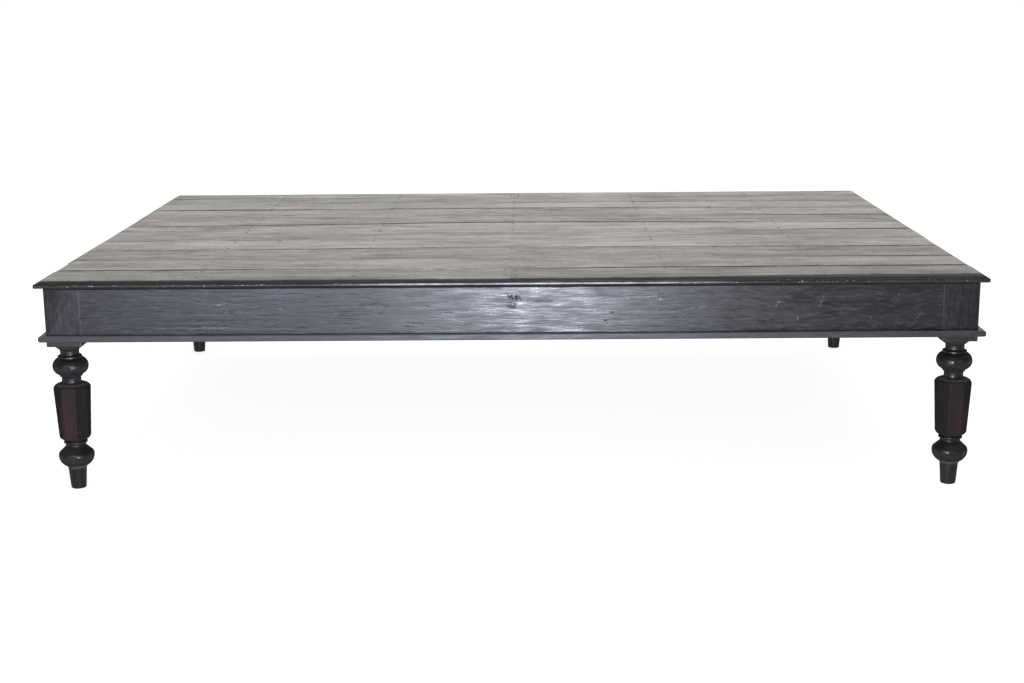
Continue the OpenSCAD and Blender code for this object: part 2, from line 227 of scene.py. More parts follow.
leg_names = [name for name in sorted(solids) if name.startswith("leg_")]
legs = {name: wear_leg(name) for name in leg_names}
for name in leg_names:
    print(name, "faces:", len(legs[name].data.polygons))

# %% [markdown]
# ## The boards: lifted, cupped and rounded along their joints
#
# The top is thirteen boards in eleven rows. Wood moves with the seasons, so no board lies quite
# level with its neighbour. Seen from low down, as here, a step of a millimetre is what makes a
# joint show as a dark line. Each board is cut across into short lengths and along into strips,
# which leaves the shape as it was but gives it points to move. Only the upper points move.
# The underside stays flat on its bearers.

# %% Find a board's joints with its neighbours
STATION_NEAR = 0.0003


def joint_lines(solid_name):
    corners = [v.co for v in solids[solid_name].data.vertices]
    low_x = min(c.x for c in corners)
    high_x = max(c.x for c in corners)
    stations = []
    for x in (low_x, min(max(0.0, low_x), high_x), high_x):
        here = [c.y for c in corners if abs(c.x - x) < STATION_NEAR]
        stations.append((min(here), max(here)))
    front = [round(s[0], 5) for s in stations]
    back = [round(s[1], 5) for s in stations]
    return front, back


board_names = [name for name in sorted(solids) if name.startswith("board_")]
for name in board_names:
    print(name, joint_lines(name))

# %% [markdown]
# A row's number says how far from the front it lies. Four short lists say, in millimetres, how
# far each row's front edge and back edge stand above or below the level, and how far its ends
# fall short at the left and at the right. The front left board sinks more than the rest, towards
# the joint where the front row is in two lengths.

# %% Say how each row lies
MM = 0.001
FRONT_EDGE_RISE = [-0.9, -0.4, -0.6, -0.3, -0.5, -0.7, -0.2, -0.5, -0.3, -0.6, -0.4]
BACK_EDGE_RISE = [-0.8, -0.7, -0.7, -0.6, -0.9, -0.7, -0.7, -0.9, -0.7, -0.7, -0.6]
LEFT_SHORT = [0.0, 3.0, 0.4, 1.0, 2.0, 1.5, 2.4, 1.0, 0.2, 0.2, 0.2]
RIGHT_SHORT = [0.0, 2.0, 2.6, 3.0, 2.2, 2.8, 3.0, 2.6, 2.8, 3.0, 2.6]
LAST_ROW = len(LEFT_SHORT) - 1
SPLIT_ROW_DROP = 1.2
SPLIT_ROW_REACH = 0.8
CUT_PITCH = 0.06
STRIPS_PER_BOARD = 4


def cut_through(point, direction):
    bpy.ops.mesh.select_all(action="SELECT")
    bpy.ops.mesh.bisect(plane_co=point, plane_no=direction)


def give_points_to_move(board):
    low_x = min(v.co.x for v in board.data.vertices)
    high_x = max(v.co.x for v in board.data.vertices)
    low_y = min(v.co.y for v in board.data.vertices)
    high_y = max(v.co.y for v in board.data.vertices)
    bpy.ops.object.mode_set(mode="EDIT")
    cuts = int((high_x - low_x) / CUT_PITCH)
    for k in range(1, cuts):
        cut_through((low_x + (high_x - low_x) * k / cuts, 0, 0), (1, 0, 0))
    for k in range(1, STRIPS_PER_BOARD):
        cut_through((0, low_y + (high_y - low_y) * k / STRIPS_PER_BOARD, 0), (0, 1, 0))
    bpy.ops.object.mode_set(mode="OBJECT")


def row_of(solid_name):
    return int(solid_name.split("_")[1]) - 1


# %% [markdown]
# The lift is worked out for each upper point from its place across the board: the front edge's
# rise at the front, the back edge's at the back, and a straight run between them. Slow clouds
# are added through a Displace modifier, so that a joint that is plain at one end fades at the other.
#
# The joints of an old top are full of dust and wax. So the edges of a worn board are also brought
# to within a hair's breadth of their neighbours. Dirt, and painted shade for the steps between
# boards, are added later, by the finish.

# %% Lift, shorten and round the boards
TOP_SKIN = 0.0045
CLOUD_SIZE = 0.22
CLOUD_RISE = 0.0010
ARRIS = 0.0005
JOINT_FILLING = 0.00033
EDGE_NEAR = 0.0005
JOINT_NEAR = 0.0002
BUTT_NEAR = 0.001
END_REACH = 0.03
MOULDED_END = 0.021

slow_clouds = bpy.data.textures.new("slow_clouds", "CLOUDS")
slow_clouds.noise_scale = CLOUD_SIZE
slow_clouds.noise_depth = 2


def line_at(stations, x):
    end = stations[0] if x < 0 else stations[2]
    return stations[1] + (end - stations[1]) * min(1.0, abs(x) / half_length)


def lift_upper_points(board, solid_name, front, back):
    row = row_of(solid_name)
    upper = board.vertex_groups.new(name="upper")
    for v in board.data.vertices:
        if v.co.z < top_height - TOP_SKIN:
            continue
        y_front = line_at(front, v.co.x)
        y_back = line_at(back, v.co.x)
        across = min(1.0, max(0.0, (v.co.y - y_front) / (y_back - y_front)))
        rise = FRONT_EDGE_RISE[row] * (1 - across) + BACK_EDGE_RISE[row] * across
        if solid_name == "board_01_left":
            rise = rise - SPLIT_ROW_DROP * (1 - across) * max(0.0, 1 + v.co.x / SPLIT_ROW_REACH)
        v.co.z = v.co.z + rise * MM
        upper.add([v.index], 1.0, "REPLACE")


def fill_joints(board, solid_name, front, back):
    row = row_of(solid_name)
    for v in board.data.vertices:
        if row > 0 and abs(v.co.y - line_at(front, v.co.x)) < JOINT_NEAR:
            v.co.y = v.co.y - JOINT_FILLING
        if row < LAST_ROW and abs(v.co.y - line_at(back, v.co.x)) < JOINT_NEAR:
            v.co.y = v.co.y + JOINT_FILLING
        if abs(v.co.x) < BUTT_NEAR and solid_name.endswith("left"):
            v.co.x = v.co.x + JOINT_FILLING
        if abs(v.co.x) < BUTT_NEAR and solid_name.endswith("right"):
            v.co.x = v.co.x - JOINT_FILLING


def shorten_ends(board, row):
    for v in board.data.vertices:
        if v.co.x < -half_length + END_REACH:
            v.co.x = v.co.x + LEFT_SHORT[row] * MM
        if v.co.x > half_length - END_REACH:
            v.co.x = v.co.x - RIGHT_SHORT[row] * MM


def cloud_upper_points(board):
    clouds = board.modifiers.new("clouds", "DISPLACE")
    clouds.texture = slow_clouds
    clouds.texture_coords = "GLOBAL"
    clouds.direction = "Z"
    clouds.mid_level = 0.5
    clouds.strength = CLOUD_RISE
    clouds.vertex_group = "upper"
    apply_modifier(board, clouds)
    for v in board.data.vertices:
        v.co.z = min(v.co.z, top_height)


def round_joint_edges(board, front, back):
    corners = [v.co for v in board.data.vertices]
    butt = [abs(c.x) < BUTT_NEAR for c in corners]
    upper = [c.z > top_height - TOP_SKIN for c in corners]
    on_end = [abs(c.x) > half_length - MOULDED_END for c in corners]
    on_front = [abs(c.y - line_at(front, c.x)) < EDGE_NEAR for c in corners]
    on_back = [abs(c.y - line_at(back, c.x)) < EDGE_NEAR for c in corners]
    half_a_row = "left" in board.name or "right" in board.name

    def lies_on_joint(a, b):
        if not (upper[a] and upper[b]) or (on_end[a] and on_end[b]):
            return False
        along = (on_front[a] and on_front[b]) or (on_back[a] and on_back[b])
        return along or (half_a_row and butt[a] and butt[b])

    bevel_edges(board, lies_on_joint, ARRIS, 2)


def wear_board(solid_name):
    front, back = joint_lines(solid_name)
    board = copy_of(solid_name)
    give_points_to_move(board)
    lift_upper_points(board, solid_name, front, back)
    fill_joints(board, solid_name, front, back)
    shorten_ends(board, row_of(solid_name))
    cloud_upper_points(board)
    round_joint_edges(board, front, back)
    bpy.ops.object.shade_smooth_by_angle(angle=SMOOTH_ANGLE)
    put_in_place_of(board, solid_name)
    return board


boards = {name: wear_board(name) for name in board_names}
print("board faces:", sum(len(b.data.polygons) for b in boards.values()))

# %% [markdown]
# ## The strips: crisp in the middle, blunt at the corners
#
# Dusters wear a strip most where it turns the corner of the table. The solids are that blunt all
# along, so the copy is tightened: the points on each rounded arris are drawn out towards the
# corner, fully in the middle and not at all at the mitre.

# %% Tighten the strips' arrises
BLUNT_ARRIS = 0.005
CRISP_ARRIS = 0.0022
BLUNT_REACH = 0.06
CUT_INSET = 0.02
CUT_SHARES = (0.25, 0.6, 1.0)
HAIR = 0.00002


def cut_near_mitres(tip, lengthwise):
    direction = Vector((1, 0, 0)) if lengthwise == 0 else Vector((0, 1, 0))
    bpy.ops.object.mode_set(mode="EDIT")
    for side in (-1, 1):
        for share in CUT_SHARES:
            cut_through(direction * side * (tip - CUT_INSET - BLUNT_REACH * share), direction)
    bpy.ops.object.mode_set(mode="OBJECT")


def tighten(v, low, high, lengthwise, face):
    outward = 1 - lengthwise
    out = abs(v.co[outward])
    if out < face - BLUNT_ARRIS - HAIR:
        return
    to_mitre = high[lengthwise] - (face - out) - abs(v.co[lengthwise])
    share = min(1.0, max(0.0, to_mitre / BLUNT_REACH))
    arris = BLUNT_ARRIS + (CRISP_ARRIS - BLUNT_ARRIS) * share
    for corner, inward in ((low.z, 1), (high.z, -1)):
        height = (v.co.z - corner) * inward
        if height > BLUNT_ARRIS + HAIR:
            continue
        turn_out = (out - (face - BLUNT_ARRIS)) / BLUNT_ARRIS
        turn_in = (height - BLUNT_ARRIS) / BLUNT_ARRIS
        v.co.z = corner + inward * (arris + arris * turn_in)
        v.co[outward] = math.copysign(face - arris + arris * turn_out, v.co[outward])
        break


def wear_strip(solid_name):
    low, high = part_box(solid_name)
    lengthwise = 0 if high.x - low.x > high.y - low.y else 1
    face = max(abs(low[1 - lengthwise]), abs(high[1 - lengthwise]))
    strip = copy_of(solid_name)
    cut_near_mitres(high[lengthwise], lengthwise)
    for v in strip.data.vertices:
        tighten(v, low, high, lengthwise, face)
    bpy.ops.object.shade_smooth_by_angle(angle=SMOOTH_ANGLE)
    put_in_place_of(strip, solid_name)
    return strip


strip_names = [name for name in sorted(solids) if name.startswith("strip_")]
strips = {name: wear_strip(name) for name in strip_names}
print("strip faces:", sum(len(s.data.polygons) for s in strips.values()))

# %% [markdown]
# ## Finishes
#
# Every finish is worked out from each point's own place in the table, in metres, so the grain
# stays fixed to the wood from any side. A few small helpers keep the recipes short. Wood grain is
# cloudy noise, stretched along the length of the wood.

# %% Small helpers for the finishes
def new_finish(name):
    finish = bpy.data.materials.new(name)
    finish.use_nodes = True
    tree = finish.node_tree
    shader = tree.nodes["Principled BSDF"]
    place = tree.nodes.new("ShaderNodeTexCoord").outputs["Object"]
    return finish, tree, shader, place


def feed(tree, socket, value):
    if isinstance(value, bpy.types.NodeSocket):
        tree.links.new(value, socket)
    else:
        socket.default_value = value


def sums(tree, operation, first, second=0.0, clamp=False):
    node = tree.nodes.new("ShaderNodeMath")
    node.operation = operation
    node.use_clamp = clamp
    feed(tree, node.inputs[0], first)
    feed(tree, node.inputs[1], second)
    return node.outputs[0]


def plus(tree, first, second):
    return sums(tree, "ADD", first, second)


def less(tree, first, second):
    return sums(tree, "SUBTRACT", first, second)


def times(tree, first, second):
    return sums(tree, "MULTIPLY", first, second)


def larger(tree, first, second):
    return sums(tree, "MAXIMUM", first, second)


def weighted(tree, *parts):
    total = 0.0
    for value, weight in parts:
        total = plus(tree, times(tree, value, weight), total)
    return total


def span(tree, value, low, high, new_low=0.0, new_high=1.0, soft=False):
    node = tree.nodes.new("ShaderNodeMapRange")
    node.interpolation_type = "SMOOTHSTEP" if soft else "LINEAR"
    feed(tree, node.inputs["Value"], value)
    feed(tree, node.inputs["From Min"], low)
    feed(tree, node.inputs["From Max"], high)
    feed(tree, node.inputs["To Min"], new_low)
    feed(tree, node.inputs["To Max"], new_high)
    return node.outputs["Result"]


def fade(tree, value, low, high, start=1.0):
    return span(tree, value, low, high, start, 0.0, soft=True)


def coordinates(tree, place):
    node = tree.nodes.new("ShaderNodeSeparateXYZ")
    feed(tree, node.inputs[0], place)
    return node.outputs[0], node.outputs[1], node.outputs[2]


def facing(tree):
    return coordinates(tree, tree.nodes.new("ShaderNodeNewGeometry").outputs["Normal"])


def grain(tree, place, size, shift=(0, 0, 0), detail=3.0, rough=0.55, warp=0.0):
    turn = tree.nodes.new("ShaderNodeMapping")
    turn.inputs["Location"].default_value = shift
    turn.inputs["Scale"].default_value = [1 / s for s in size]
    feed(tree, turn.inputs["Vector"], place)
    noise = tree.nodes.new("ShaderNodeTexNoise")
    feed(tree, noise.inputs["Vector"], turn.outputs[0])
    noise.inputs["Scale"].default_value = 1.0
    noise.inputs["Detail"].default_value = detail
    noise.inputs["Roughness"].default_value = rough
    noise.inputs["Distortion"].default_value = warp
    return noise.outputs[0]


def mix(tree, share, first, second):
    node = tree.nodes.new("ShaderNodeMix")
    node.data_type = "RGBA"
    feed(tree, node.inputs[0], share)
    feed(tree, node.inputs[6], first)
    feed(tree, node.inputs[7], second)
    return node.outputs[2]


def paint(tree, shader, skin):
    feed(tree, shader.inputs["Base Color"], skin)


def relief(tree, shader, height, distance):
    node = tree.nodes.new("ShaderNodeBump")
    feed(tree, node.inputs["Height"], height)
    node.inputs["Distance"].default_value = distance
    node.inputs["Strength"].default_value = 1.0
    feed(tree, shader.inputs["Normal"], node.outputs[0])


def roughen(tree, shader, extra):
    rough = shader.inputs["Roughness"]
    feed(tree, rough, sums(tree, "ADD", rough.links[0].from_socket, extra, clamp=True))


def spot(tree, place, centre, reach, tilt=0.0):
    fit = tree.nodes.new("ShaderNodeMapping")
    fit.vector_type = "TEXTURE"
    fit.inputs["Location"].default_value = centre
    fit.inputs["Rotation"].default_value = (0, -math.radians(tilt), 0)
    fit.inputs["Scale"].default_value = reach
    feed(tree, fit.inputs["Vector"], place)
    away = tree.nodes.new("ShaderNodeVectorMath")
    away.operation = "LENGTH"
    feed(tree, away.inputs[0], fit.outputs[0])
    return fade(tree, away.outputs["Value"], 0.35, 1.0)


def colour(r, g, b):
    return (r, g, b, 1.0)


def dress(piece, finish):
    piece.data.materials.clear()
    piece.data.materials.append(finish)


# %% [markdown]
# ### The dark polish
#
# The frame is black-brown, almost without colour, under a thin satin polish. The polish follows
# the grain in shallow ridges, which draw the light of the window out into soft streaks, and it is
# duller in some patches than in others. Where it is rubbed through, the red-brown of the teak
# shows. One recipe serves every piece of the frame. Only the direction of the grain, the shine and
# the liveliness of the ridges change from piece to piece.

# %% Make the dark polish
POLISH_BLACK = colour(0.0030, 0.0029, 0.0035)
POLISH_BROWN = colour(0.0090, 0.0070, 0.0070)
POLISH_SPECK = colour(0.0260, 0.0255, 0.0285)
RUBBED_RED = colour(0.020, 0.0090, 0.0075)
# Near-black used for dirt in the board joints and for painted shade in crevices and under the top.
DIRT_AND_PAINTED_SHADE = colour(0.0020, 0.0019, 0.0020)
DUST = colour(0.085, 0.086, 0.090)
POLISH_SHINE = 0.33
POLISH_LEVEL = 0.17
RIDGE_HEIGHT = 0.0010
PATCH_SIZE = (0.09, 0.09, 0.09)
GRAIN_ALONG = {"x": (0.30, 0.014, 0.014), "y": (0.014, 0.30, 0.014), "z": (0.012, 0.012, 0.22)}
MOTTLE_ALONG = {"x": (0.085, 0.012, 0.012), "y": (0.012, 0.085, 0.012), "z": (0.014, 0.014, 0.050)}
FINE_ALONG = {"x": (0.050, 0.0022, 0.0022), "y": (0.0022, 0.050, 0.0022), "z": (0.0020, 0.0020, 0.040)}
FLECKS_ALONG = {"x": (0.024, 0.0052, 0.0052), "y": (0.0052, 0.024, 0.0052), "z": (0.006, 0.006, 0.014)}


def polish(name, direction, shift, rub=(0.62, 0.80), shine=POLISH_SHINE, level=POLISH_LEVEL, lively=1.0):
    finish, tree, shader, place = new_finish(name)
    figure = grain(tree, place, GRAIN_ALONG[direction], shift, 6.0, 0.68, 0.9)
    pores = grain(tree, place, FINE_ALONG[direction], shift, 3.0, 0.6)
    patches = grain(tree, place, PATCH_SIZE, shift, 3.0, 0.6)
    mottle = grain(tree, place, MOTTLE_ALONG[direction], shift, 4.0, 0.6)
    flecks = grain(tree, place, FLECKS_ALONG[direction], shift, 3.0, 0.62)
    body = mix(tree, span(tree, figure, 0.35, 0.70), POLISH_BLACK, POLISH_BROWN)
    body = mix(tree, span(tree, flecks, 0.50, 0.72, 0.0, 0.42 * lively), body, POLISH_SPECK)
    rubbed = span(tree, patches, rub[0], rub[1], soft=True)
    rubbed = times(tree, rubbed, span(tree, pores, 0.35, 0.65, 0.4, 1.0))
    skin = mix(tree, rubbed, body, RUBBED_RED)
    gloss = span(tree, mottle, 0.3, 0.7, shine - 0.10, shine + 0.13)
    gloss = plus(tree, gloss, span(tree, pores, 0.3, 0.7, -0.02, 0.03))
    gloss = plus(tree, gloss, span(tree, flecks, 0.3, 0.7, -0.03 * lively, 0.03 * lively))
    gloss = plus(tree, gloss, span(tree, patches, 0.3, 0.7, -0.06 * lively, 0.06 * lively))
    feed(tree, shader.inputs["Roughness"], gloss)
    shader.inputs["Specular IOR Level"].default_value = level
    height = weighted(tree, (figure, 0.36), (pores, 0.10), (mottle, 0.46), (flecks, 0.10))
    relief(tree, shader, height, RIDGE_HEIGHT * lively)
    return SimpleNamespace(finish=finish, tree=tree, shader=shader, place=place, skin=skin, patches=patches)


# %% [markdown]
# The front apron carries a dark knot in the middle, pale scratches to its right and a few small
# dents. Each is a soft oval at its own place, made ragged by fine noise. A knot takes polish badly,
# so it shows as a dull patch in the reflection. A scratch has lost its polish, so it is pale. Each
# mark gives x, z, half the length, half the height, the tilt in degrees and, but for dents, a
# strength.

# %% Make the marks on the front apron
KNOTS = [(0.0090, 0.4430, 0.021, 0.0080, -14, 0.55), (0.0030, 0.4260, 0.017, 0.0110, 0, 0.25)]
SCRATCHES = [
    (0.2640, 0.4405, 0.110, 0.0016, 4, 0.5), (0.4110, 0.4178, 0.030, 0.0014, 11, 0.5),
    (0.2150, 0.4000, 0.016, 0.0012, 11, 0.5), (0.3300, 0.4370, 0.0050, 0.0024, 65, 1.0),
    (0.6850, 0.4310, 0.024, 0.0014, 70, 0.5), (0.5890, 0.4290, 0.011, 0.0014, 10, 0.5),
    (-0.6480, 0.4300, 0.020, 0.0012, -8, 0.4), (0.9600, 0.4080, 0.016, 0.0014, 60, 0.5),
    (0.5860, 0.4220, 0.010, 0.0013, 65, 0.4), (0.6330, 0.3915, 0.008, 0.0012, 70, 0.4),
    (0.8580, 0.4440, 0.010, 0.0013, 10, 0.5), (0.7920, 0.3940, 0.009, 0.0012, -45, 0.4),
    (0.8960, 0.3910, 0.022, 0.0013, 55, 0.4), (0.8680, 0.3620, 0.017, 0.0013, 40, 0.4)
]
DENT_STRENGTH = 0.35
DENTS = [
    (0.2239, 0.4085, 0.0055, 0.0032, 0), (0.2100, 0.3905, 0.0065, 0.0032, 20),
    (-0.6480, 0.4260, 0.0060, 0.0030, 0), (0.7922, 0.3940, 0.0045, 0.0030, 0),
    (0.6830, 0.3690, 0.0140, 0.0025, 0), (0.8580, 0.4450, 0.0090, 0.0020, 0)
]
PALE_SCRATCH = colour(0.17, 0.165, 0.17)
RAGGED_SIZE = (0.0045, 0.0045, 0.0035)


def mark_front(front):
    tree = front.tree
    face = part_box("apron_front")[0].y
    ragged = grain(tree, front.place, RAGGED_SIZE, (0, 0, 0), 3.0, 0.7)
    for x, z, half_x, half_z, tilt, strength in KNOTS:
        here = spot(tree, front.place, (x, face, z), (half_x, 1.0, half_z), tilt)
        here = times(tree, here, span(tree, ragged, 0.38, 0.55))
        roughen(tree, front.shader, times(tree, here, strength))
    for x, z, half_x, half_z, tilt in DENTS:
        here = spot(tree, front.place, (x, face, z), (half_x, 1.0, half_z), tilt)
        roughen(tree, front.shader, times(tree, here, DENT_STRENGTH))
    for x, z, half_x, half_z, tilt, strength in SCRATCHES:
        here = spot(tree, front.place, (x, face, z), (half_x, 1.0, half_z), tilt)
        here = times(tree, here, span(tree, ragged, 0.48, 0.60, 0.0, strength))
        front.skin = mix(tree, here, front.skin, PALE_SCRATCH)


# %% [markdown]
# Darker colour is painted where a cloth can't reach and where shade falls. The corner above the
# strip holds dirt and painted shade. A dark line right under the top, which runs on over the posts,
# is painted shadow from the overhang. Beside each post the polish of the apron is rubbed through,
# so the joint shows as a thin pale line. Dust lies on the strip's upper face.

# %% Finish the aprons and the strips
UNDER_TOP_SHADE_FROM = 0.0047
UNDER_TOP_SHADE_TO = 0.0072
UNDER_TOP_SHADE_DULL = 0.6
JOINT_SHOWS = 0.0040
JOINT_FADE = 0.0006
POST_INSIDE = 0.00075
CREVICE_SHADE_FROM = 0.0008
CREVICE_SHADE_TO = 0.0022
JOINT_RUBBED = colour(0.036, 0.029, 0.027)
APRON_SHINE = 0.322
APRON_LIVELY = 1.15
STRIP_DUST = 0.10
STRIP_CREVICE_SHADE_FROM = 0.0012
STRIP_CREVICE_SHADE_TO = 0.0030
STRIP_SHINE = 0.40
STRIP_LIVELY = 0.7


def paint_shade_under_top(piece):
    tree = piece.tree
    height = coordinates(tree, piece.place)[2]
    below_top = less(tree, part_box("apron_front")[1].z, height)
    # Painted shadow: the colour is darkened just under the top's overhang.
    under_top_shade = fade(tree, below_top, UNDER_TOP_SHADE_FROM, UNDER_TOP_SHADE_TO)
    roughen(tree, piece.shader, times(tree, under_top_shade, UNDER_TOP_SHADE_DULL))
    paint(tree, piece.shader, mix(tree, under_top_shade, piece.skin, DIRT_AND_PAINTED_SHADE))


def apron_finish(solid_name, direction, shift):
    apron = polish("polish_on_" + solid_name, direction, shift, shine=APRON_SHINE, lively=APRON_LIVELY)
    tree = apron.tree
    x, y, z = coordinates(tree, apron.place)
    above_strip = less(tree, z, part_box("strip_front")[1].z)
    # Dirt and painted shade: darker just above the strip, in the corner against the apron.
    crevice_dirt_and_shade = fade(tree, above_strip, CREVICE_SHADE_FROM, CREVICE_SHADE_TO)
    apron.skin = mix(tree, crevice_dirt_and_shade, apron.skin, DIRT_AND_PAINTED_SHADE)
    if solid_name == "apron_front":
        mark_front(apron)
    post_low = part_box("leg_back_right")[0]
    post_start = (post_low.x if direction == "x" else post_low.y) + POST_INSIDE
    along = sums(tree, "ABSOLUTE", x if direction == "x" else y)
    beside_post = span(tree, along, post_start - JOINT_SHOWS, post_start - JOINT_FADE, soft=True)
    beside_post = times(tree, beside_post, span(tree, apron.patches, 0.30, 0.60, 0.25, 0.80))
    apron.skin = mix(tree, beside_post, apron.skin, JOINT_RUBBED)
    paint_shade_under_top(apron)
    return apron.finish


def strip_finish(solid_name, direction, shift):
    strip = polish(
        "polish_on_" + solid_name, direction, shift, (0.60, 0.80), STRIP_SHINE, lively=STRIP_LIVELY)
    tree = strip.tree
    x, y = coordinates(tree, strip.place)[:2]
    across = x if direction == "y" else y
    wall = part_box("apron_right")[1].x if direction == "y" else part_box("apron_back")[1].y
    outward = less(tree, sums(tree, "ABSOLUTE", across), wall)
    level = span(tree, facing(tree)[2], 0.55, 0.9, soft=True)
    dusty = times(tree, level, span(tree, strip.patches, 0.3, 0.6, 0.5, 1.0))
    skin = mix(tree, STRIP_DUST, strip.skin, DUST)
    skin = mix(tree, dusty, skin, DUST)
    # Dirt and painted shade: darker on the strip's upper face where it meets the apron.
    crevice_dirt_and_shade = times(tree, fade(tree, outward, STRIP_CREVICE_SHADE_FROM, STRIP_CREVICE_SHADE_TO), level)
    paint(tree, strip.shader, mix(tree, crevice_dirt_and_shade, skin, DIRT_AND_PAINTED_SHADE))
    return strip.finish


for k, name in enumerate(["apron_front", "apron_back"]):
    dress(solids[name], apron_finish(name, "x", (2.3 * k, 5.1 * k, 1.9 * k)))
for k, name in enumerate(["apron_left", "apron_right"]):
    dress(solids[name], apron_finish(name, "y", (4.7 * k, 2.9 * k, 3.3 * k)))
for k, name in enumerate(["strip_front", "strip_back"]):
    dress(strips[name], strip_finish(name, "x", (3.3 * k, 1.1 * k, 2.9 * k)))
for k, name in enumerate(["strip_left", "strip_right"]):
    dress(strips[name], strip_finish(name, "y", (1.7 * k, 2.1 * k, 4.3 * k)))
print("aprons and strips finished:", 8)

# %% [markdown]
# The legs are darker than the frame above them. The turned parts keep a shine, so that small
# lights sit on the bulbs, while the planed facets are dull and a little browner. Both go duller
# where the eye skims over them, and the turned parts also underneath, or the pale floor would be
# mirrored there and turn the leg's outline grey. On the two front legs a patch of the facets is
# worn to red, and the facets that face the front are painted lighter, as painted light. The rims
# of a leg are worn to brown. Its throat under the post is painted lighter brown, as a painted
# reflection of the pale floor.

# %% Finish the legs
FACET_BLACK = colour(0.0062, 0.0046, 0.0043)
FACET_PAINTED_LIGHT = colour(0.0105, 0.0080, 0.0075)
FACET_RED = colour(0.0185, 0.0080, 0.0070)
FACET_SHINE = 0.40
FACET_LEVEL = 0.04
FACET_LIVELY = 0.6
TURNED_BLACK = colour(0.0038, 0.0028, 0.0025)
TURNED_SHINE = 0.34
TURNED_LEVEL = 0.15
TURNED_LIVELY = 0.3
TURNED_DARKER = 0.6
FACET_DARKER = 0.75
LEG_WEAR_AND_REFLECTION = colour(0.085, 0.064, 0.056)
NICK_SIZE = (0.0040, 0.0040, 0.0050)
STREAK_SIZE = (0.006, 0.006, 0.050)
RIM_HEIGHTS = (0.2425, 0.2450, 0.2462, 0.2475)
FOOT_HEIGHTS = (0.0475, 0.0505, 0.0550, 0.0580)
THROAT_HEIGHTS = (0.326, 0.330)
RIM_WORN = 0.7
FOOT_WORN = 0.45
THROAT_PAINTED_REFLECTION = 0.14
DULLING = 0.55
RED_REACH = (0.030, 0.030, 0.075)
RED_PLACES = {"leg_front_left": (-0.010, 0.155), "leg_front_right": (0.024, 0.150)}


def band(tree, z, heights, strength):
    start, full, last, end = heights
    rising = span(tree, z, start, full, soft=True)
    return times(tree, times(tree, rising, span(tree, z, last, end, 1.0, 0.0)), strength)


def dull_when_skimmed(tree, shader, low, high):
    skim = tree.nodes.new("ShaderNodeLayerWeight")
    skim.inputs["Blend"].default_value = 0.5
    roughen(tree, shader, span(tree, skim.outputs["Facing"], low, high, 0.0, DULLING, soft=True))


def turned_finish(solid_name, shift):
    turned = polish(
        "polish_on_" + solid_name, "z", shift,
        shine=TURNED_SHINE, level=TURNED_LEVEL, lively=TURNED_LIVELY)
    tree = turned.tree
    skin = mix(tree, TURNED_DARKER, turned.skin, TURNED_BLACK)
    z = coordinates(tree, turned.place)[2]
    # Painted reflection: the throat under the post is lightened towards brown.
    throat_reflection = span(tree, z, THROAT_HEIGHTS[0], THROAT_HEIGHTS[1], soft=True)
    worn = larger(tree, band(tree, z, RIM_HEIGHTS, RIM_WORN), band(tree, z, FOOT_HEIGHTS, FOOT_WORN))
    worn = larger(tree, worn, times(tree, throat_reflection, THROAT_PAINTED_REFLECTION))
    nicks = grain(tree, turned.place, NICK_SIZE, shift, 3.0, 0.7)
    worn = times(tree, worn, span(tree, nicks, 0.35, 0.60, 0.2, 1.0))
    worn = larger(tree, worn, span(tree, nicks, 0.72, 0.75, 0.0, 0.8))
    paint(tree, turned.shader, mix(tree, worn, skin, LEG_WEAR_AND_REFLECTION))
    dull_when_skimmed(tree, turned.shader, 0.35, 0.75)
    underneath = span(tree, facing(tree)[2], -0.15, -0.55, 0.0, DULLING, soft=True)
    roughen(tree, turned.shader, underneath)
    return turned.finish


def planed_finish(solid_name, shift):
    planed = polish(
        "polish_on_facets_of_" + solid_name, "z", shift,
        shine=FACET_SHINE, level=FACET_LEVEL, lively=FACET_LIVELY)
    tree = planed.tree
    skin = mix(tree, FACET_DARKER, planed.skin, FACET_BLACK)
    streaks = grain(tree, planed.place, STREAK_SIZE, shift, 4.0, 0.7)
    # Painted light: the facets that face the front are lighter, in streaks.
    to_front = span(tree, facing(tree)[1], -0.80, -0.95)
    painted_front_shading = times(tree, to_front, span(tree, streaks, 0.35, 0.65, 0.35, 1.0))
    skin = mix(tree, painted_front_shading, skin, FACET_PAINTED_LIGHT)
    if solid_name in RED_PLACES:
        low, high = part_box(solid_name)
        sideways, height = RED_PLACES[solid_name]
        centre = ((low.x + high.x) / 2 + sideways, low.y, height)
        red = spot(tree, planed.place, centre, RED_REACH)
        red = times(tree, red, span(tree, streaks, 0.30, 0.60, 0.25, 0.85))
        skin = mix(tree, red, skin, FACET_RED)
    nicks = grain(tree, planed.place, NICK_SIZE, shift, 3.0, 0.7)
    skin = mix(tree, span(tree, nicks, 0.69, 0.74, 0.0, 0.9), skin, LEG_WEAR_AND_REFLECTION)
    paint(tree, planed.shader, skin)
    dull_when_skimmed(tree, planed.shader, 0.35, 0.70)
    return planed.finish


def post_finish(solid_name, shift):
    post = polish("polish_on_post_of_" + solid_name, "z", shift)
    paint_shade_under_top(post)
    return post.finish


for k, name in enumerate(leg_names):
    shift = (3.1 * k, 1.7 * k, 0.4 * k)
    slots = legs[name].material_slots
    slots[TURNED_SLOT].material = turned_finish(name, shift)
    slots[PLANED_SLOT].material = planed_finish(name, shift)
    slots[POST_SLOT].material = post_finish(name, (1.9 * k, 2.3 * k, 0.8 * k))
print("legs finished:", len(leg_names))
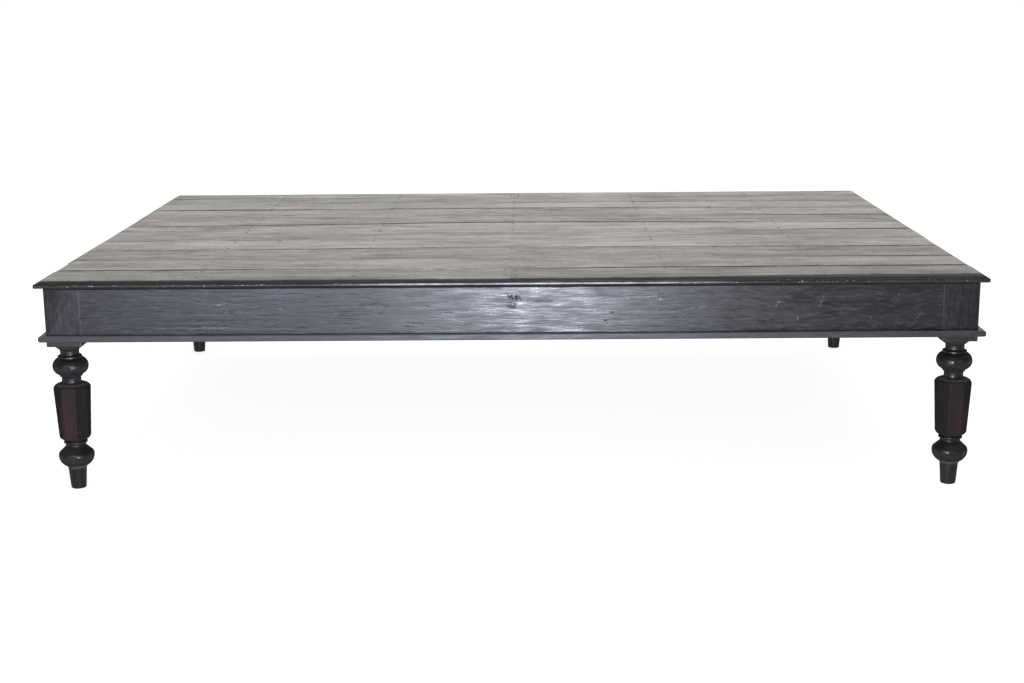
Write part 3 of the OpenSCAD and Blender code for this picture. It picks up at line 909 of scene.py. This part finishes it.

# %% [markdown]
# ### The grey top
#
# The polish on the top is long gone. The boards are grey, bleached along the hard grain and dark
# in the soft, with faint pink and green patches. Several sizes of grain lie over each other, from
# bands two fingers wide down to fine fibres. Dirt lies in the joints, with painted shade where a
# board's edge steps down. The lists below say how dark a joint is, at a few places x along its length.
# The front moulding was never scrubbed, so two fingers of the dark polish are still there, with a
# ragged border that is wider at the right. At the two ends and at the back the grey runs on over
# the slope, and only the rounded nose below it is dark.

# %% Say how dark dirt and painted shade make each joint
JOINT_DIRT_AND_SHADE_ALONG = [
    [(-1.0, 0.9), (-0.7, 0.9), (-0.5, 0.45), (-0.1, 0.3), (0.1, 0.6), (0.25, 0.95), (1.0, 0.95)],
    [(-1.0, 0.2), (-0.45, 0.2), (-0.36, 0.5), (-0.25, 0.15), (0.6, 0.15), (0.76, 0.95)],
    [(-1.0, 0.6), (-0.5, 0.7), (-0.2, 0.55), (0.4, 0.6), (1.0, 0.7)],
    [(-1.0, 0.1), (0.0, 0.2), (0.6, 0.3), (1.0, 0.6)],
    [(-1.0, 0.3), (-0.3, 0.2), (0.2, 0.4), (0.7, 0.4), (0.78, 0.95)],
    [(-1.0, 0.6), (-0.4, 0.8), (-0.3, 1.0), (0.55, 1.0), (0.72, 0.3)],
    [(-1.0, 0.25), (0.0, 0.25), (0.6, 0.4), (0.72, 0.9)],
    [(-1.0, 0.7), (-0.9, 0.95), (-0.6, 0.9), (-0.45, 0.4), (-0.1, 0.8), (0.3, 0.9), (0.4, 0.35)],
    [(-1.0, 0.35), (0.2, 0.35), (0.38, 0.85), (1.0, 0.8)],
    [(-1.0, 0.6), (-0.4, 0.6), (-0.2, 0.35), (1.0, 0.4)],
]
DIRT_AND_SHADE_WIDTH = 0.0028
DIRT_AND_SHADE_CORE = 0.45


def along_joint(tree, x, marks):
    ramp = tree.nodes.new("ShaderNodeValToRGB")
    stops = ramp.color_ramp.elements
    while len(stops) > 1:
        stops.remove(stops[-1])
    for k, (place_x, strength) in enumerate(marks):
        share = (place_x + half_length) / (2 * half_length)
        stop = stops[0] if k == 0 else stops.new(share)
        stop.position = share
        stop.color = (strength, strength, strength, 1.0)
    feed(tree, ramp.inputs[0], span(tree, x, -half_length, half_length))
    return ramp.outputs[0]


def distance_to_joint(tree, x, y, stations):
    left = span(tree, x, -half_length, 0.0, stations[0], stations[1])
    right = span(tree, x, 0.0, half_length, 0.0, stations[2] - stations[1])
    return sums(tree, "ABSOLUTE", less(tree, y, plus(tree, left, right)))


def dirt_and_shade_near(tree, x, y, stations, marks, wander):
    filled = plus(tree, along_joint(tree, x, marks), span(tree, wander, 0.30, 0.70, -0.55, 0.35))
    filled = span(tree, filled, 0.05, 0.85)
    width = span(tree, filled, 0.0, 1.0, 0.4 * DIRT_AND_SHADE_WIDTH, 2.8 * DIRT_AND_SHADE_WIDTH)
    core = times(tree, width, DIRT_AND_SHADE_CORE)
    return times(tree, fade(tree, distance_to_joint(tree, x, y, stations), core, width), filled)


def dirt_and_shade_in_joints(tree, x, y, solid_name, wander):
    front, back = joint_lines(solid_name)
    row = row_of(solid_name)
    dirt_and_shade = 0.0
    if row > 0:
        dirt_and_shade = dirt_and_shade_near(tree, x, y, front, JOINT_DIRT_AND_SHADE_ALONG[row - 1], wander)
    if row < LAST_ROW:
        dirt_and_shade = larger(tree, dirt_and_shade, dirt_and_shade_near(tree, x, y, back, JOINT_DIRT_AND_SHADE_ALONG[row], wander))
    return dirt_and_shade


# %% [markdown]
# A few knots lie on the top, dark and blotchy, and pale painted highlights lie along three of the
# joints, where the nearer board stands higher. Each mark gives x, y, half the length and half the breadth.

# %% Make the marks on the top
KNOTS_ON_TOP = [
    (-0.589, -0.188, 0.011, 0.014), (0.558, 0.372, 0.011, 0.014), (0.559, -0.280, 0.009, 0.012),
    (0.625, -0.317, 0.009, 0.012), (-0.018, 0.123, 0.011, 0.014), (-0.630, 0.270, 0.030, 0.009)
]
# Painted highlights along joints where a board's edge stands higher.
EDGE_HIGHLIGHTS_ON_TOP = [
    (-0.175, -0.604, 0.120, 0.013), (-0.280, -0.008, 0.070, 0.010), (-0.420, 0.145, 0.080, 0.009)
]
KNOT_DARK = colour(0.040, 0.034, 0.030)
EDGE_HIGHLIGHT_PALE = colour(0.560, 0.542, 0.520)
BLOTCH_SIZE = (0.010, 0.008, 0.008)
EDGE_HIGHLIGHT_RAGGED = (0.026, 0.0032, 0.0032)


def mark_top(tree, place, solid_name, body):
    low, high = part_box(solid_name)
    knots = (KNOTS_ON_TOP, KNOT_DARK, BLOTCH_SIZE, 0.40)
    edge_highlights = (EDGE_HIGHLIGHTS_ON_TOP, EDGE_HIGHLIGHT_PALE, EDGE_HIGHLIGHT_RAGGED, 0.50)
    for marks, shade, size, threshold in (knots, edge_highlights):
        for x, y, half_x, half_y in marks:
            if low.y - half_y < y < high.y + half_y and low.x < x < high.x:
                ragged = grain(tree, place, size, (4, 2, 0), 3.0, 0.75)
                ragged = span(tree, ragged, threshold, threshold + 0.08, 0.0, 0.9)
                here = spot(tree, place, (x, y, top_height), (half_x, half_y, 1.0))
                body = mix(tree, times(tree, here, ragged), body, shade)
    return body


# %% Make the finish of one board
BLEACHED = colour(0.428, 0.408, 0.380)
SOFT_GRAIN = colour(0.118, 0.110, 0.101)
PINK_CAST = colour(0.24, 0.200, 0.187)
GREEN_CAST = colour(0.193, 0.202, 0.180)
EDGE_DARK = colour(0.0110, 0.0098, 0.0102)
BOARD_TONE = [-0.02, -0.04, 0.01, -0.03, 0.02, -0.01, 0.03, -0.02, 0.0, 0.03, -0.01, 0.02, 0.03]
CLOUD_TONE = 0.070
DARK_REACH = 0.026
BORDER_WANDER = 0.007
WIDER_AT_RIGHT = 0.020
BORDER_IN = 0.004
BORDER_OUT = 0.006
RIM_FROM = 0.0045
RIM_TO = 0.012
RIM_DARK = 0.55
FRONT_PAINTED_SHADE = 0.26
TOP_LEVEL = 0.45
FIBRE_RELIEF = 0.0006


def board_grey(tree, place, y, shift, tone):
    clouds = grain(tree, place, (0.42, 0.20, 0.20), shift, 4.0, 0.62, 0.5)
    broad = grain(tree, place, (0.22, 0.042, 0.042), shift, 6.0, 0.68, 0.4)
    lines = grain(tree, place, (0.095, 0.0085, 0.0085), shift, 4.0, 0.68, 0.3)
    mottle = grain(tree, place, (0.050, 0.040, 0.040), shift, 4.0, 0.65)
    specks = grain(tree, place, (0.0055, 0.012, 0.012), shift, 3.0, 0.7)
    fibres = grain(tree, place, (0.070, 0.0016, 0.0016), shift, 2.0, 0.6)
    casts = grain(tree, place, (0.45, 0.10, 0.10), shift, 2.0, 0.5)
    mixed = weighted(tree, (broad, 0.48), (lines, 0.20), (mottle, 0.16), (specks, 0.24))
    mixed = plus(tree, mixed, span(tree, clouds, 0.3, 0.7, tone - CLOUD_TONE, tone + CLOUD_TONE))
    body = mix(tree, span(tree, mixed, 0.385, 0.66), SOFT_GRAIN, BLEACHED)
    # Painted shade: the boards are darker towards the front edge.
    painted_front_shading = fade(tree, y, -half_depth, -half_depth * 0.4, FRONT_PAINTED_SHADE)
    body = mix(tree, painted_front_shading, body, SOFT_GRAIN)
    body = mix(tree, span(tree, casts, 0.55, 0.75, 0.0, 0.45, soft=True), body, PINK_CAST)
    body = mix(tree, span(tree, casts, 0.45, 0.28, 0.0, 0.45, soft=True), body, GREEN_CAST)
    body = mix(tree, span(tree, fibres, 0.50, 0.75, 0.0, 0.42), body, SOFT_GRAIN)
    return body, mixed, weighted(tree, (lines, 0.6), (fibres, 0.25))


def dark_front_border(tree, x, y, wander):
    ragged = span(tree, wander, 0.3, 0.7, -BORDER_WANDER, BORDER_WANDER)
    inward = plus(tree, plus(tree, y, half_depth), ragged)
    inward = less(tree, inward, span(tree, x, 0.15, 0.85, 0.0, WIDER_AT_RIGHT, soft=True))
    return fade(tree, inward, DARK_REACH - BORDER_IN, DARK_REACH + BORDER_OUT)


def soft_rim(tree, x, y):
    from_side = less(tree, half_length, sums(tree, "ABSOLUTE", x))
    from_back = less(tree, half_depth, y)
    return fade(tree, sums(tree, "MINIMUM", from_side, from_back), RIM_FROM, RIM_TO, RIM_DARK)


def board_finish(solid_name, number):
    shift = (1.37 * number, 2.71 * number, 0.53 * number)
    finish, tree, shader, place = new_finish("grey_on_" + solid_name)
    x, y = coordinates(tree, place)[:2]
    body, mixed, height = board_grey(tree, place, y, shift, BOARD_TONE[number])
    wander = grain(tree, place, (0.045, 0.02, 0.02), shift, 5.0, 0.75)
    # Dirt and painted shade in the joints between boards.
    body = mix(tree, dirt_and_shade_in_joints(tree, x, y, solid_name, wander), body, DIRT_AND_PAINTED_SHADE)
    body = mark_top(tree, place, solid_name, body)
    body = mix(tree, soft_rim(tree, x, y), body, SOFT_GRAIN)
    border = dark_front_border(tree, x, y, wander)
    paint(tree, shader, mix(tree, border, body, EDGE_DARK))
    dry = span(tree, mixed, 0.40, 0.70, 0.66, 0.54)
    feed(tree, shader.inputs["Roughness"], span(tree, border, 0.0, 1.0, dry, 0.70))
    shader.inputs["Specular IOR Level"].default_value = TOP_LEVEL
    relief(tree, shader, height, FIBRE_RELIEF)
    return finish


# %% [markdown]
# The rounded nose of the front edge catches the window along its whole length. Its crest carries a
# painted highlight, brightest in the middle, and elsewhere only small worn specks. All the boards
# share this one finish.

# %% Finish the moulding and dress the boards
MOULDING_SHINE = 0.48
MOULDING_LEVEL = 0.13
MOULDING_LIVELY = 0.5
MOULDING_WIDTH = 0.020
WORN_THROUGH = colour(0.16, 0.12, 0.11)
NOSE_HIGHLIGHT_AND_WEAR = colour(0.185, 0.178, 0.188)
NOSE_SHINE = 0.13
BRIGHT_MIDDLE = 0.05
BRIGHT_WITHIN = 0.24
BRIGHT_UNTIL = 0.48
BRIGHTEST = 0.82
LEAST_BRIGHT = 0.04
UNDERSIDE_DULL = 0.5
UNDERSIDE_BELOW = -0.9
SLOPE_BELOW = 0.85


def moulding_finish():
    edge = polish(
        "polish_on_moulding", "x", (0.7, 0.2, 0.9), (0.55, 0.78),
        MOULDING_SHINE, MOULDING_LEVEL, MOULDING_LIVELY)
    tree = edge.tree
    x = coordinates(tree, edge.place)[0]
    upward = facing(tree)[2]
    specks = grain(tree, edge.place, (0.0060, 0.0040, 0.0030), (0, 0, 0), 2.0, 0.6)
    worn = times(tree, span(tree, specks, 0.66, 0.72), span(tree, edge.patches, 0.35, 0.60))
    skin = mix(tree, worn, edge.skin, WORN_THROUGH)
    # Painted highlight along the nose's crest, brightest in the middle, plus small worn specks.
    crest = times(tree, span(tree, upward, 0.45, 0.62, 1.0, 0.0), span(tree, upward, -0.35, -0.10))
    from_bright = sums(tree, "ABSOLUTE", less(tree, x, BRIGHT_MIDDLE))
    along = span(tree, from_bright, BRIGHT_WITHIN, BRIGHT_UNTIL, BRIGHTEST, LEAST_BRIGHT, soft=True)
    runs = grain(tree, edge.place, (0.050, 0.05, 0.05), (3, 0, 0), 4.0, 0.7)
    painted_highlight_and_specks = times(tree, times(tree, crest, along), span(tree, runs, 0.35, 0.60, 0.35, 1.0))
    painted_highlight_and_specks = larger(tree, painted_highlight_and_specks, times(tree, crest, span(tree, specks, 0.62, 0.70, 0.0, 0.7)))
    paint(tree, edge.shader, mix(tree, painted_highlight_and_specks, skin, NOSE_HIGHLIGHT_AND_WEAR))
    on_nose = fade(tree, upward, 0.60, 0.80)
    roughen(tree, edge.shader, times(tree, on_nose, -NOSE_SHINE))
    roughen(tree, edge.shader, fade(tree, upward, -0.45, -0.15, UNDERSIDE_DULL))
    return edge.finish


def mark_moulding(board):
    marked = 0
    for face in board.data.polygons:
        from_side = half_length - abs(face.center.x)
        from_front = half_depth + face.center.y
        inward = min(from_side, from_front, half_depth - face.center.y)
        if inward > MOULDING_WIDTH or face.normal.z < UNDERSIDE_BELOW:
            continue
        on_front = from_front < MOULDING_WIDTH and from_front < from_side
        if on_front or face.normal.z < SLOPE_BELOW:
            face.material_index = 1
            marked = marked + 1
    return marked


moulding_polish = moulding_finish()
for number, name in enumerate(board_names):
    dress(boards[name], board_finish(name, number))
    boards[name].data.materials.append(moulding_polish)
    print(name, "faces on the moulding:", mark_moulding(boards[name]))

# %% [markdown]
# ### The hidden wood
#
# The bearers under the top are plain brown teak, never polished. Of the pegs, only small dark
# discs of end grain show in the top.

# %% Make the plain teak and the peg wood
TEAK_LIGHT = colour(0.24, 0.145, 0.080)
TEAK_DARK = colour(0.115, 0.065, 0.036)
PEG_LIGHT = colour(0.235, 0.222, 0.207)
PEG_DARK = colour(0.085, 0.075, 0.066)
PORE_DEPTH = 0.0006
PEG_DEPTH = 0.0008


def plain_teak(name, shift):
    finish, tree, shader, place = new_finish(name)
    figure = grain(tree, place, (0.012, 0.30, 0.012), shift, 5.0, 0.6, 0.8)
    pores = grain(tree, place, (0.0016, 0.045, 0.0016), shift, 2.0, 0.6)
    body = mix(tree, span(tree, figure, 0.35, 0.65), TEAK_DARK, TEAK_LIGHT)
    body = mix(tree, span(tree, pores, 0.5, 0.8, 0.0, 0.6), body, TEAK_DARK)
    paint(tree, shader, body)
    feed(tree, shader.inputs["Roughness"], span(tree, pores, 0.3, 0.7, 0.70, 0.82))
    relief(tree, shader, pores, PORE_DEPTH)
    return finish


def peg_finish(name):
    finish, tree, shader, place = new_finish(name)
    ends = grain(tree, place, (0.0030, 0.0030, 0.02), (0, 0, 0), 3.0, 0.6)
    each = grain(tree, place, (0.11, 0.11, 0.5), (5.2, 1.1, 0), 1.0, 0.5)
    body = mix(tree, span(tree, ends, 0.25, 0.50), PEG_DARK, PEG_LIGHT)
    body = mix(tree, span(tree, each, 0.56, 0.66, 0.0, 0.9), body, PEG_DARK)
    paint(tree, shader, body)
    feed(tree, shader.inputs["Roughness"], span(tree, ends, 0.3, 0.7, 0.55, 0.70))
    relief(tree, shader, ends, PEG_DEPTH)
    return finish


bearer_names = [name for name in sorted(solids) if name.startswith("bearer_")]
for k, name in enumerate(bearer_names):
    dress(solids[name], plain_teak("teak_of_" + name, (1.3 * k, 0.9 * k, 2.2 * k)))
peg_wood = peg_finish("peg_wood")
dress(solids["top_pegs"], peg_wood)
dress(solids["lock_pegs"], peg_wood)
print("hidden pieces finished:", len(bearer_names) + 2)

# %% [markdown]
# ## Floor, light and camera
#
# The real table was photographed from about four metres away and cut out on white. A wide pale
# floor stands in for that white. The light is soft all round, with one cool window low in front,
# whose reflection is the bright patch in the middle of the apron, and a weaker one to the left.
# The camera was solved from the outline of the top, the feet and the strip.

# %% Lay the floor
FLOOR_REACH = 160.0
FLOOR_GREY = colour(0.36, 0.36, 0.36)
FLOOR_GLOW = 0.81

clear_selection()
bpy.ops.mesh.primitive_plane_add(size=2 * FLOOR_REACH, location=(0, 0, 0))
floor = bpy.context.object
floor.name = "floor"
pale, _, shader, _ = new_finish("pale_floor")
shader.inputs["Base Color"].default_value = FLOOR_GREY
shader.inputs["Roughness"].default_value = 0.9
shader.inputs["Specular IOR Level"].default_value = 0.1
shader.inputs["Emission Color"].default_value = colour(1.0, 1.0, 1.0)
shader.inputs["Emission Strength"].default_value = FLOOR_GLOW
dress(floor, pale)
print("floor reaches", FLOOR_REACH, "m each way")


# %% Set the lights
APRON_MIDDLE = (0, -0.73, 0.4)
APRON_LEFT = (-0.7, -0.73, 0.4)
COOL = (0.82, 0.87, 1.0)
COOLER = (0.73, 0.79, 1.0)
WARM = (1.0, 0.985, 0.96)


def soft_light(name, place, target, size, watts, tint):
    lamp = bpy.data.lights.new(name, "AREA")
    lamp.shape = "RECTANGLE"
    lamp.size, lamp.size_y = size
    lamp.energy = watts
    lamp.color = tint
    stand = bpy.data.objects.new(name, lamp)
    bpy.context.scene.collection.objects.link(stand)
    stand.location = place
    aim = Vector(target) - Vector(place)
    stand.rotation_euler = aim.to_track_quat("-Z", "Y").to_euler()
    print("light:", name, watts, "W")


soft_light("low_window", (0.045, -3.0, 0.28), APRON_MIDDLE, size=(0.14, 0.36), watts=141, tint=COOL)
soft_light("left_window", (-1.10, -3.3, 0.45), APRON_LEFT, size=(0.6, 0.6), watts=66, tint=COOLER)
soft_light("ceiling", (0.35, 0.3, 3.4), (0.2, 0, 0), size=(3.6, 3.0), watts=48, tint=WARM)

# %% Make the soft sky
SKY_FRONT = 0.45
SKY_ABOVE = 1.0
SKY_BACK = 1.25

sky = bpy.data.worlds.new("soft_sky")
bpy.context.scene.world = sky
sky.use_nodes = True
tree = sky.node_tree
air = tree.nodes["Background"]
air.inputs["Color"].default_value = colour(1.0, 1.0, 1.0)
heading = tree.nodes.new("ShaderNodeTexCoord").outputs["Generated"]
across, away, upward = coordinates(tree, heading)
behind = span(tree, away, 0.89, 0.972, SKY_FRONT, SKY_BACK, soft=True)
overhead = span(tree, upward, 0.60, 0.88, SKY_FRONT, SKY_ABOVE, soft=True)
feed(tree, air.inputs["Strength"], larger(tree, behind, overhead))
print("sky from", SKY_FRONT, "to", SKY_BACK)

# %% Stand the camera where the photographer stood
PICTURE_WIDTH = 1024
FOCAL_PIXELS = 1596.8
SENSOR = 36.0
PITCH = math.radians(12.656)
YAW = math.radians(0.597)
ROLL = math.radians(-0.490)
STANDPOINT = (0.0387, -4.1842, 1.1190)

level_right = Vector((math.cos(YAW), math.sin(YAW), 0))
ahead = Vector((-math.sin(YAW) * math.cos(PITCH), math.cos(YAW) * math.cos(PITCH), -math.sin(PITCH)))
level_up = level_right.cross(ahead)
right = level_right * math.cos(ROLL) + level_up * math.sin(ROLL)
up = level_up * math.cos(ROLL) - level_right * math.sin(ROLL)
lens = bpy.data.cameras.new("camera")
lens.sensor_width = SENSOR
lens.lens = FOCAL_PIXELS * SENSOR / PICTURE_WIDTH
lens.clip_end = 400
camera = bpy.data.objects.new("camera", lens)
bpy.context.scene.collection.objects.link(camera)
camera.matrix_world = Matrix.Translation(STANDPOINT) @ Matrix((right, up, -ahead)).transposed().to_4x4()
bpy.context.scene.camera = camera
bpy.context.scene.view_settings.view_transform = "Standard"
print("lens:", round(lens.lens, 2), "mm, camera at", STANDPOINT)

# %% Clear the selection
clear_selection()
